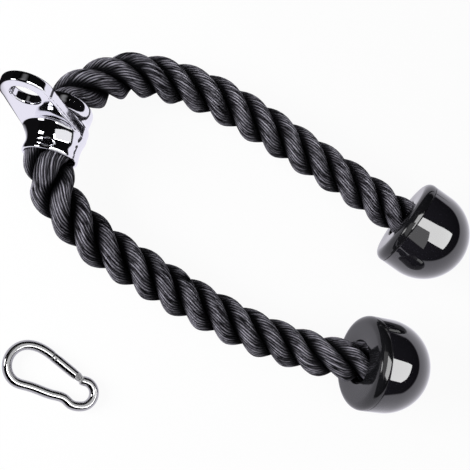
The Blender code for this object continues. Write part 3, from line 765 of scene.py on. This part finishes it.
def makePlate(values):
    end, reach, thick = values["plateEnd"], values["eyeReach"], values["plateThick"]
    baseX, baseWidth = values["plateBase"]
    lean = math.atan2(baseWidth / 2 - end, reach + baseX)
    shoulder = end * math.sin(lean)
    plate = addPin("plate", end, thick, values["plateRound"], rotation=standing)
    bpy.ops.object.mode_set(mode="EDIT")
    bpy.ops.mesh.select_all(action="SELECT")
    bpy.ops.mesh.bisect(
        plane_co=(shoulder, 0, 0), plane_no=(1, 0, 0), use_fill=True, clear_outer=True
    )
    pick(plate, "FACE", lambda place, normal: normal.x > flatOn)
    extrude(reach + baseX - shoulder, 0, 0)
    bpy.ops.transform.resize(value=(1, 1, baseWidth / 2 / (end * math.cos(lean))))
    bpy.ops.object.mode_set(mode="OBJECT")
    cut(plate, addPin("eye", values["eyeHole"], 3 * thick, values["round"], rotation=standing))
    roundEdges(plate, values["plateEdge"], values["edgeSteps"], values["edgeAngle"])
    plate.data.transform(Matrix.Translation((-reach, 0, 0)))
    way = values["bore"] + values["wayWall"]
    cut(plate, addPin("way", way, 5 * thick, values["wayRound"], rotation=standing))
    return plate


def makeBracket(values):
    sleeve, plate = makeSleeve(values), makePlate(values)
    selectOnly(sleeve)
    plate.select_set(True)
    bpy.ops.object.join()
    useModifier(sleeve, "REMESH", mode="VOXEL", voxel_size=values["voxel"])
    useModifier(sleeve, "SMOOTH", iterations=values["smoothing"])
    place, chrome = Matrix(values["place"]), finish["chrome plate"]
    settle(sleeve, place, chrome, "bracket", "eye_bracket", creases=False)


makeBracket(bracket)
print("bracket cast")


# balls: a hollow dome closed by a cap with a rounded hole for the rope; each is made with the
# seam at height 0 and the rope towards +Z
ball = {
    # the seam's middle, and the way from there to the rope
    "upper": ((0.12956, 0.0895, 0.03255), (-0.90991, 0.25063, -0.33051)),
    "lower": ((0.13115, -0.01952, 0.03355), (-0.96599, -0.24085, -0.09411)),
    "radius": 0.0335,
    "straight": 0.0125,
    "wall": 0.0032,
    "capThick": 0.0075,
    "capEdge": 0.0060,
    "seamEdge": 0.0004,
    "hole": 0.0152,
    "holeEdge": 0.0011,
    "ring": (0.0275, 0.0300),
    "ringDeep": 0.0073,
    "gap": 0.0003,
    "round": 128,
    "capSteps": 14,
    "holeSteps": 6,
    "seamSteps": 3,
    "seamAngle": 60,
}


def makeDome(name, values):
    straight = values["straight"]
    dome = startPiece(
        name,
        bpy.ops.mesh.primitive_uv_sphere_add,
        segments=values["round"],
        ring_count=values["round"] // 2,
        radius=values["radius"],
        location=(0, 0, -straight),
    )
    bpy.ops.object.mode_set(mode="EDIT")
    pick(dome, "VERT", lambda place: place.z > near - straight)
    bpy.ops.mesh.delete(type="VERT")
    pick(dome, "EDGE", lambda place: place.z > -near - straight)
    extrude(0, 0, straight)
    bpy.ops.object.mode_set(mode="OBJECT")
    useModifier(dome, "SOLIDIFY", thickness=values["wall"], offset=-1, use_even_offset=True)
    roundEdges(dome, values["seamEdge"], values["seamSteps"], values["seamAngle"])
    return dome


def makeCap(name, values):
    radius, thick, edge = values["radius"], values["capThick"], values["capEdge"]
    hole, lip, low = values["hole"], values["holeEdge"], values["gap"]
    top = low + thick
    ringIn, ringOut = values["ring"]

    def out(place):
        return math.hypot(place.x, place.y)

    def inset(thickness):
        bpy.ops.mesh.inset(thickness=thickness, use_even_offset=True)

    cap = addPin(name, radius, thick, values["round"], location=(0, 0, low + thick / 2))
    bpy.ops.object.mode_set(mode="EDIT")
    pick(cap, "EDGE", lambda place: place.z > top - near)
    bevel(edge, values["capSteps"])
    pick(cap, "FACE", lambda place, normal: normal.z > flatOn and out(place) < lip)
    inset(radius - edge - hole - lip)
    inset(lip)
    bpy.ops.mesh.delete(type="FACE")
    pick(cap, "FACE", lambda place, normal: normal.z < -flatOn and out(place) < lip)
    for outer, inner in ((radius, ringOut), (ringOut, ringIn), (ringIn, hole)):
        inset(outer - inner)
    bpy.ops.mesh.delete(type="FACE")
    pick(cap, "FACE", lambda place, normal: normal.z < -flatOn and ringIn < out(place) < ringOut)
    extrude(0, 0, -values["ringDeep"])
    pick(cap, "EDGE", lambda place: abs(out(place) - hole) < onCircle)
    bpy.ops.mesh.bridge_edge_loops()
    pick(cap, "EDGE", lambda place: place.z > top - near and abs(out(place) - hole) < onCircle)
    bevel(lip, values["holeSteps"])
    pick(cap, "EDGE", lambda place: place.z < low + near and out(place) > radius - onCircle)
    bevel(values["seamEdge"], values["seamSteps"])
    bpy.ops.object.mode_set(mode="OBJECT")
    tidyMesh(cap)
    return cap


for side, line, piece in (("upper", upperLine, ropeUpper), ("lower", lowerLine, ropeLower)):
    leg, place = "leg_" + side, aimed(*ball[side])
    dome = makeDome("ballDome" + side.capitalize(), ball)
    settle(dome, place, finish["gloss black"], leg, "ball_shell_" + side)
    cap = makeCap("ballCap" + side.capitalize(), ball)
    settle(cap, place, finish["cap black"], leg, "ball_cap_" + side)
    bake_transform(piece)
    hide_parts("rope_bend_" + side, "rope_leg_" + side)
print("balls moulded")


# snap hook: a pear of round wire and its gate; the hook's own frame has the big loop at its
# origin and the small one towards +X, and the gate's has +X from the pivot to the nose
hook = {
    "place": (-0.08455, -0.10691, 0.0031),
    "heading": -5.65,  # degrees
    "wire": 0.0031,
    "wireStep": 0.0009,
    "wireRound": 6,
    "bigRadius": 0.0123,
    "bigBack": 0.0006,
    "bigTurn": (104, 262),
    "smallRadius": 0.0080,
    "smallTurn": (-70, 95),
    "turnSteps": 6,
    "centres": 0.0392,
    "stepIn": 0.0005,
    "stepOut": 0.0008,
    "backSteps": 4,
    "nose": (0.0106, 0.0121),
    "pivot": (0.0313, 0.0082),
    "endGap": 0.0006,
    "tongue": ((-0.0068, 0.0024), 0.0044, 0.0026),  # reach along the gate, depth and thickness
    "tongueRound": 0.0012,
    "tab": (0.0040, 0.0025, 0.00135),  # length, depth and rise off the gate's axis
    "tabRoundShare": 0.49,
    "fork": (0.0032, 0.0036),  # width, and reach from the pivot
    "noseSlot": (0.0048, -0.0021),  # length, and its floor
    "gateGap": 0.0004,
    "springBore": (0.0015, 0.0153),
    "rivetHole": 0.00135,
    "sink": (0.0022, 0.0023),  # radius, and how far its floor is from the middle
    "pinHole": (0.00085, 0.0026, -0.0009),  # radius, inset from the nose, and rise
    "edge": 0.0003,
    "edgeSteps": 3,
    "edgeAngle": 60,
    "round": 48,
    "holeRound": 32,
}


def arcPoints(middle, radius, turn, steps):
    points = []
    for k in range(steps + 1):
        angle = math.radians(turn[0] + (turn[1] - turn[0]) * k / steps)
        points.append((middle + radius * math.cos(angle), radius * math.sin(angle), 0))
    return points


def hookFrames(values):
    (noseX, noseY), (pivotX, pivotY) = values["nose"], values["pivot"]
    body = Matrix.Translation(values["place"])
    body = body @ Matrix.Rotation(math.radians(values["heading"]), 4, "Z")
    aim = math.atan2(noseY - pivotY, noseX - pivotX)
    gate = Matrix.Translation((pivotX, pivotY, 0)) @ Matrix.Rotation(aim, 4, "Z")
    return body, gate @ Matrix.Rotation(math.pi, 4, "X"), math.hypot(noseX - pivotX, noseY - pivotY)


def block(name, low, high, rounded=None, width=0, steps=8):
    # a box between two corners; edges of it may be rounded
    size = [b - a for a, b in zip(low, high)]
    middle = [(a + b) / 2 for a, b in zip(low, high)]
    obj = startPiece(name, bpy.ops.mesh.primitive_cube_add, size=1, scale=size, location=middle)
    if rounded:
        bpy.ops.object.mode_set(mode="EDIT")
        pick(obj, "EDGE", rounded)
        bevel(width, steps)
        bpy.ops.object.mode_set(mode="OBJECT")
    return obj


def crossPin(name, radius, low, high, x=0, y=0):
    # a pin across the gate, to cut holes with
    return addPin(name, radius, high - low, hook["holeRound"], location=(x, y, (low + high) / 2))


def bendWire(values):
    (noseX, noseY), (pivotX, pivotY) = values["nose"], values["pivot"]
    small, centres = values["smallRadius"], values["centres"]
    turnSteps, backSteps = values["turnSteps"], values["backSteps"]
    rise = math.atan2(noseY - pivotY, pivotX - noseX)
    way = np.array((-math.cos(rise), math.sin(rise), 0))
    points = [(noseX, noseY, 0)]
    points += arcPoints(-values["bigBack"], values["bigRadius"], values["bigTurn"], turnSteps)
    high = np.array(points[-1])
    low = np.array((centres - small, -pivotY + values["stepIn"], 0))
    points += [tuple(high + (low - high) * k / backSteps) for k in range(1, backSteps + 1)]
    points.append((centres - small / 2, -small - values["stepOut"], 0))
    points += arcPoints(centres, small, values["smallTurn"], turnSteps)
    clear = values["wire"] + values["endGap"]
    points.append(tuple(np.array((pivotX, pivotY, 0)) - way * clear))
    curve = bpy.data.curves.new("hookWire", "CURVE")
    curve.dimensions = "3D"
    curve.bevel_depth = values["wire"]
    curve.bevel_resolution = values["wireRound"]
    curve.use_fill_caps = True
    spline = curve.splines.new("POLY")
    path = smoothCurve(points, way, way, values["wireStep"])
    spline.points.add(len(path) - 1)
    for point, place in zip(spline.points, path):
        point.co = (*place, 1)
    obj = addObject("hookWire", curve)
    selectOnly(obj)
    bpy.ops.object.convert(target="MESH")
    tidyMesh(obj)
    roundEdges(obj, values["edge"], values["edgeSteps"], values["edgeAngle"])
    return obj


def makeHookBody(values, bodyPlace, gatePlace, reach):
    # the bent wire with its tongue and nose tab, which are made in the gate's frame
    wire, through = values["wire"], 2 * values["wire"]
    body = bendWire(values)
    (back, front), depth, thick = values["tongue"]
    length, tabDepth, rise = values["tab"]
    tongue = block(
        "tongue",
        (back, -depth / 2, -thick / 2),
        (front, depth / 2, thick / 2),
        lambda place: place.x > front - near and abs(place.y) > depth / 2 - near,
        values["tongueRound"],
    )
    tab = block(
        "tab",
        (reach - length, rise - tabDepth / 2, -thick / 2),
        (reach + wire, rise + tabDepth / 2, thick / 2),
        lambda place: place.x < reach - length + near,
        values["tabRoundShare"] * tabDepth,
    )
    rivetHole = crossPin("rivetHole", values["rivetHole"], -through, through)
    for tool, operation in ((tongue, "UNION"), (tab, "UNION"), (rivetHole, "DIFFERENCE")):
        tool.data.transform(gatePlace)
        cut(body, tool, operation)
    body.name = body.data.name = "hookBody"
    settle(body, bodyPlace, finish["satin steel"], "snap_hook", "hook_body")


def makeGate(values, gatePlace, reach):
    wire, through = values["wire"], 2 * values["wire"]
    gate = startPiece(
        "hookGate",
        bpy.ops.mesh.primitive_uv_sphere_add,
        segments=values["round"],
        ring_count=values["round"] // 2,
        radius=wire,
        rotation=lying,
    )
    bpy.ops.object.mode_set(mode="EDIT")
    pick(gate, "VERT", lambda place: place.x > near)
    bpy.ops.mesh.delete(type="VERT")
    pick(gate, "EDGE", lambda place: place.x > -near)
    extrude(reach - values["gateGap"], 0, 0)
    bpy.ops.mesh.edge_face_add()
    bevel(values["edge"], values["edgeSteps"])
    bpy.ops.object.mode_set(mode="OBJECT")
    tidyMesh(gate)
    width, forkReach = values["fork"]
    slotLength, slotFloor = values["noseSlot"]
    boreRadius, boreEnd = values["springBore"]
    sinkRadius, sinkFloor = values["sink"]
    pinRadius, inset, pinRise = values["pinHole"]
    cut(gate, block("fork", (-through, -through, -width / 2), (forkReach, through, width / 2)))
    slotLow = (reach - slotLength, slotFloor, -width / 2)
    cut(gate, block("noseSlot", slotLow, (reach + wire, through, width / 2)))
    place = {"location": (boreEnd / 2, 0, 0), "rotation": lying}
    cut(gate, addPin("bore", boreRadius, boreEnd, values["holeRound"], **place))
    cut(gate, crossPin("rivetHole", values["rivetHole"], -through, through))
    cut(gate, crossPin("sink", sinkRadius, sinkFloor, through))
    cut(gate, crossPin("sink", sinkRadius, -through, -sinkFloor))
    cut(gate, crossPin("pinHole", pinRadius, -through, through, reach - inset, pinRise))
    settle(gate, gatePlace, finish["satin steel"], "gate", "hook_gate")


bodyPlace, gatePlace, gateReach = hookFrames(hook)
makeHookBody(hook, bodyPlace, gatePlace, gateReach)
makeGate(hook, bodyPlace @ gatePlace, gateReach)
print("snap hook bent")


# the pieces that the CAD already has in full, in their own finishes
carried = {
    "end_washer_upper": "zinc plate",
    "end_washer_lower": "zinc plate",
    "end_ferrule_upper": "zinc plate",
    "end_ferrule_lower": "zinc plate",
    "hook_rivet": "pin steel",
    "hook_latch_pin": "pin steel",
    "hook_plunger": "pin steel",
    "hook_spring": "spring wire",
}

for node, name in carried.items():
    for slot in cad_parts[node].material_slots:
        slot.material = finish[name]
print("carried pieces dressed")


# studio: a white table and backdrop, a dark ceiling with soft boxes, and even fill light
studio = {
    "floorSize": 6,
    "floorDrop": 0.0005,
    "tableTones": ((0.88, 0.88, 0.89), (0.92, 0.92, 0.93)),
    "tableGrain": 40.0,
    "tableRoughness": 0.9,
    "shadowShare": 0.06,
    "fill": 0.14,
    "lamps": [((0.25, -0.175, 1.1), 0.8, 2.5), ((-0.93, -0.34, 0.45), 0.5, 18)],
    "mirrorTint": (0.93, 0.91, 1.0),
    "tableSlant": -0.6,
    "mirrorShadeEdge": (-0.172, -0.160),  # as metal sees it, the table turns to painted shade on the camera's side
    "mirrorShadeLevel": 0.006,
    "ceiling": 0.004,
    "backdropTop": (0.06, 0.50),  # how high the backdrop stands, as sines: plainly, and towards +X
    "backdropSoft": 0.05,
    "boxFade": (0.5, 0.05),  # how far from its middle a soft one is dark, and full
    # two bright boxes, a faint one on the eye's side, and a pale card over the snap hook
    "boxes": [
        {"place": (0.175, -0.11, 1.0), "aim": (0.175, -0.11, 0), "size": (1.25, 0.82), "glow": 8.0},
        {"place": (-0.93, -0.34, 0.28), "aim": (0, 0, 0), "size": (0.3, 0.3), "glow": 6.0},
        {
            "place": (-0.75, 0.35, 0.75), "aim": (-0.13, 0.05, 0.04),
            "size": (0.8, 0.7), "glow": 0.2, "soft": True,
        },
        {
            "place": (-0.04, -0.045, 0.2), "aim": (-0.04, -0.045, 0),
            "size": (0.26, 0.19), "glow": 0.95,
        },
    ],
}


def raysSeen(tree):
    # which rays come from the camera, and which left a mirror or passed through glass
    path = addNode(tree, "ShaderNodeLightPath").outputs
    mirrored = mathNode(tree, "MAXIMUM", path["Is Glossy Ray"], path["Is Transmission Ray"])
    return path["Is Camera Ray"], mirrored


def mixShaders(tree, share, first, second):
    mix = addNode(tree, "ShaderNodeMixShader", Fac=share)
    tree.links.new(first, mix.inputs[1])
    tree.links.new(second, mix.inputs[2])
    return mix.outputs["Shader"]


def makeTable(values):
    floor = startPiece(
        "floor",
        bpy.ops.mesh.primitive_plane_add,
        size=values["floorSize"],
        location=(0, 0, -values["floorDrop"]),
    )
    material, tree, shader = newMaterial("white table", {"Roughness": values["tableRoughness"]})
    grain = addNode(tree, "ShaderNodeTexNoise", Scale=values["tableGrain"])
    tone = addNode(tree, "ShaderNodeValToRGB", Fac=grain.outputs["Fac"])
    for element, colour in zip(tone.color_ramp.elements, values["tableTones"]):
        element.color = (*colour, 1)
    feed(tree, shader, {"Base Color": tone.outputs["Color"]})
    fromCamera, fromMirror = raysSeen(tree)
    white = addNode(tree, "ShaderNodeEmission", Strength=1.0)
    share = mathNode(tree, "MULTIPLY", fromCamera, 1 - values["shadowShare"])
    pale = mixShaders(tree, share, shader.outputs["BSDF"], white.outputs["Emission"])
    # painted shade on the camera's side of the table, which only metal and gloss see
    place = addNode(tree, "ShaderNodeTexCoord").outputs["Object"]
    parts = addNode(tree, "ShaderNodeSeparateXYZ", Vector=place).outputs
    across = mathNode(tree, "MULTIPLY_ADD", parts["Y"], values["tableSlant"], parts["X"])
    strength = rangeNode(tree, across, values["mirrorShadeEdge"], (values["mirrorShadeLevel"], 1.0))
    tint = (*values["mirrorTint"], 1)
    mirrored = addNode(tree, "ShaderNodeEmission", Strength=strength, Color=tint)
    seen = mixShaders(tree, fromMirror, pale, mirrored.outputs["Emission"])
    feed(tree, tree.nodes["Material Output"], {"Surface": seen})
    floor.data.materials.append(material)


def makeBackdrop(values):
    world = bpy.data.worlds.new("studio")
    bpy.context.scene.world = world
    world.use_nodes = True
    tree = world.node_tree
    fill = tree.nodes["Background"]
    feed(tree, fill, {"Color": (1, 1, 1, 1), "Strength": values["fill"]})
    way = addNode(tree, "ShaderNodeTexCoord").outputs["Generated"]
    parts = addNode(tree, "ShaderNodeSeparateXYZ", Vector=way).outputs
    plain, ahead = values["backdropTop"]
    soft = values["backdropSoft"]
    lean = mathNode(tree, "MULTIPLY_ADD", parts["X"], -ahead, parts["Z"])
    edge = (plain - soft, plain + soft)
    strength = rangeNode(tree, lean, edge, (1.0, values["ceiling"]), "SMOOTHSTEP")
    tint = (*values["mirrorTint"], 1)
    mirrored = addNode(tree, "ShaderNodeBackground", Strength=strength, Color=tint)
    white = addNode(tree, "ShaderNodeBackground", Strength=1.0, Color=(1, 1, 1, 1))
    fromCamera, fromMirror = raysSeen(tree)
    lit = mixShaders(tree, fromMirror, fill.outputs["Background"], mirrored.outputs["Background"])
    seen = mixShaders(tree, fromCamera, lit, white.outputs["Background"])
    feed(tree, tree.nodes["World Output"], {"Surface": seen})


def makeSoftBoxes(values):
    # what shines in metal and gloss; it casts no light
    for box in values["boxes"]:
        obj = startPiece("softBox", bpy.ops.mesh.primitive_plane_add, size=1)
        obj.data.transform(Matrix.Diagonal((*box["size"], 1, 1)))
        obj.data.transform(aimed(box["place"], Vector(box["aim"]) - Vector(box["place"])))
        material, tree, shader = newMaterial("soft box", {})
        strength = mathNode(tree, "MULTIPLY", raysSeen(tree)[1], box["glow"])
        if "soft" in box:
            place = addNode(tree, "ShaderNodeTexCoord").outputs["Generated"]
            away = addNode(tree, "ShaderNodeVectorMath", {"operation": "DISTANCE"})
            plug(tree, away.inputs[0], place)
            plug(tree, away.inputs[1], (0.5, 0.5, 0.5))
            faded = rangeNode(tree, away.outputs["Value"], values["boxFade"], kind="SMOOTHSTEP")
            strength = mathNode(tree, "MULTIPLY", strength, faded)
        glow = addNode(tree, "ShaderNodeEmission", Strength=strength)
        feed(tree, tree.nodes["Material Output"], {"Surface": glow.outputs["Emission"]})
        obj.data.materials.append(material)
        obj.visible_camera = obj.visible_diffuse = obj.visible_shadow = False


def hangLamps(values):
    # the plain light, which metal and gloss don't show
    for place, size, energy in values["lamps"]:
        data = bpy.data.lights.new("lamp", "AREA")
        data.size = size
        data.energy = energy
        lamp = addObject("lamp", data)
        lamp.matrix_world = aimed(place, place)
        lamp.visible_glossy = False


makeTable(studio)
makeBackdrop(studio)
makeSoftBoxes(studio)
hangLamps(studio)
print("studio lit")
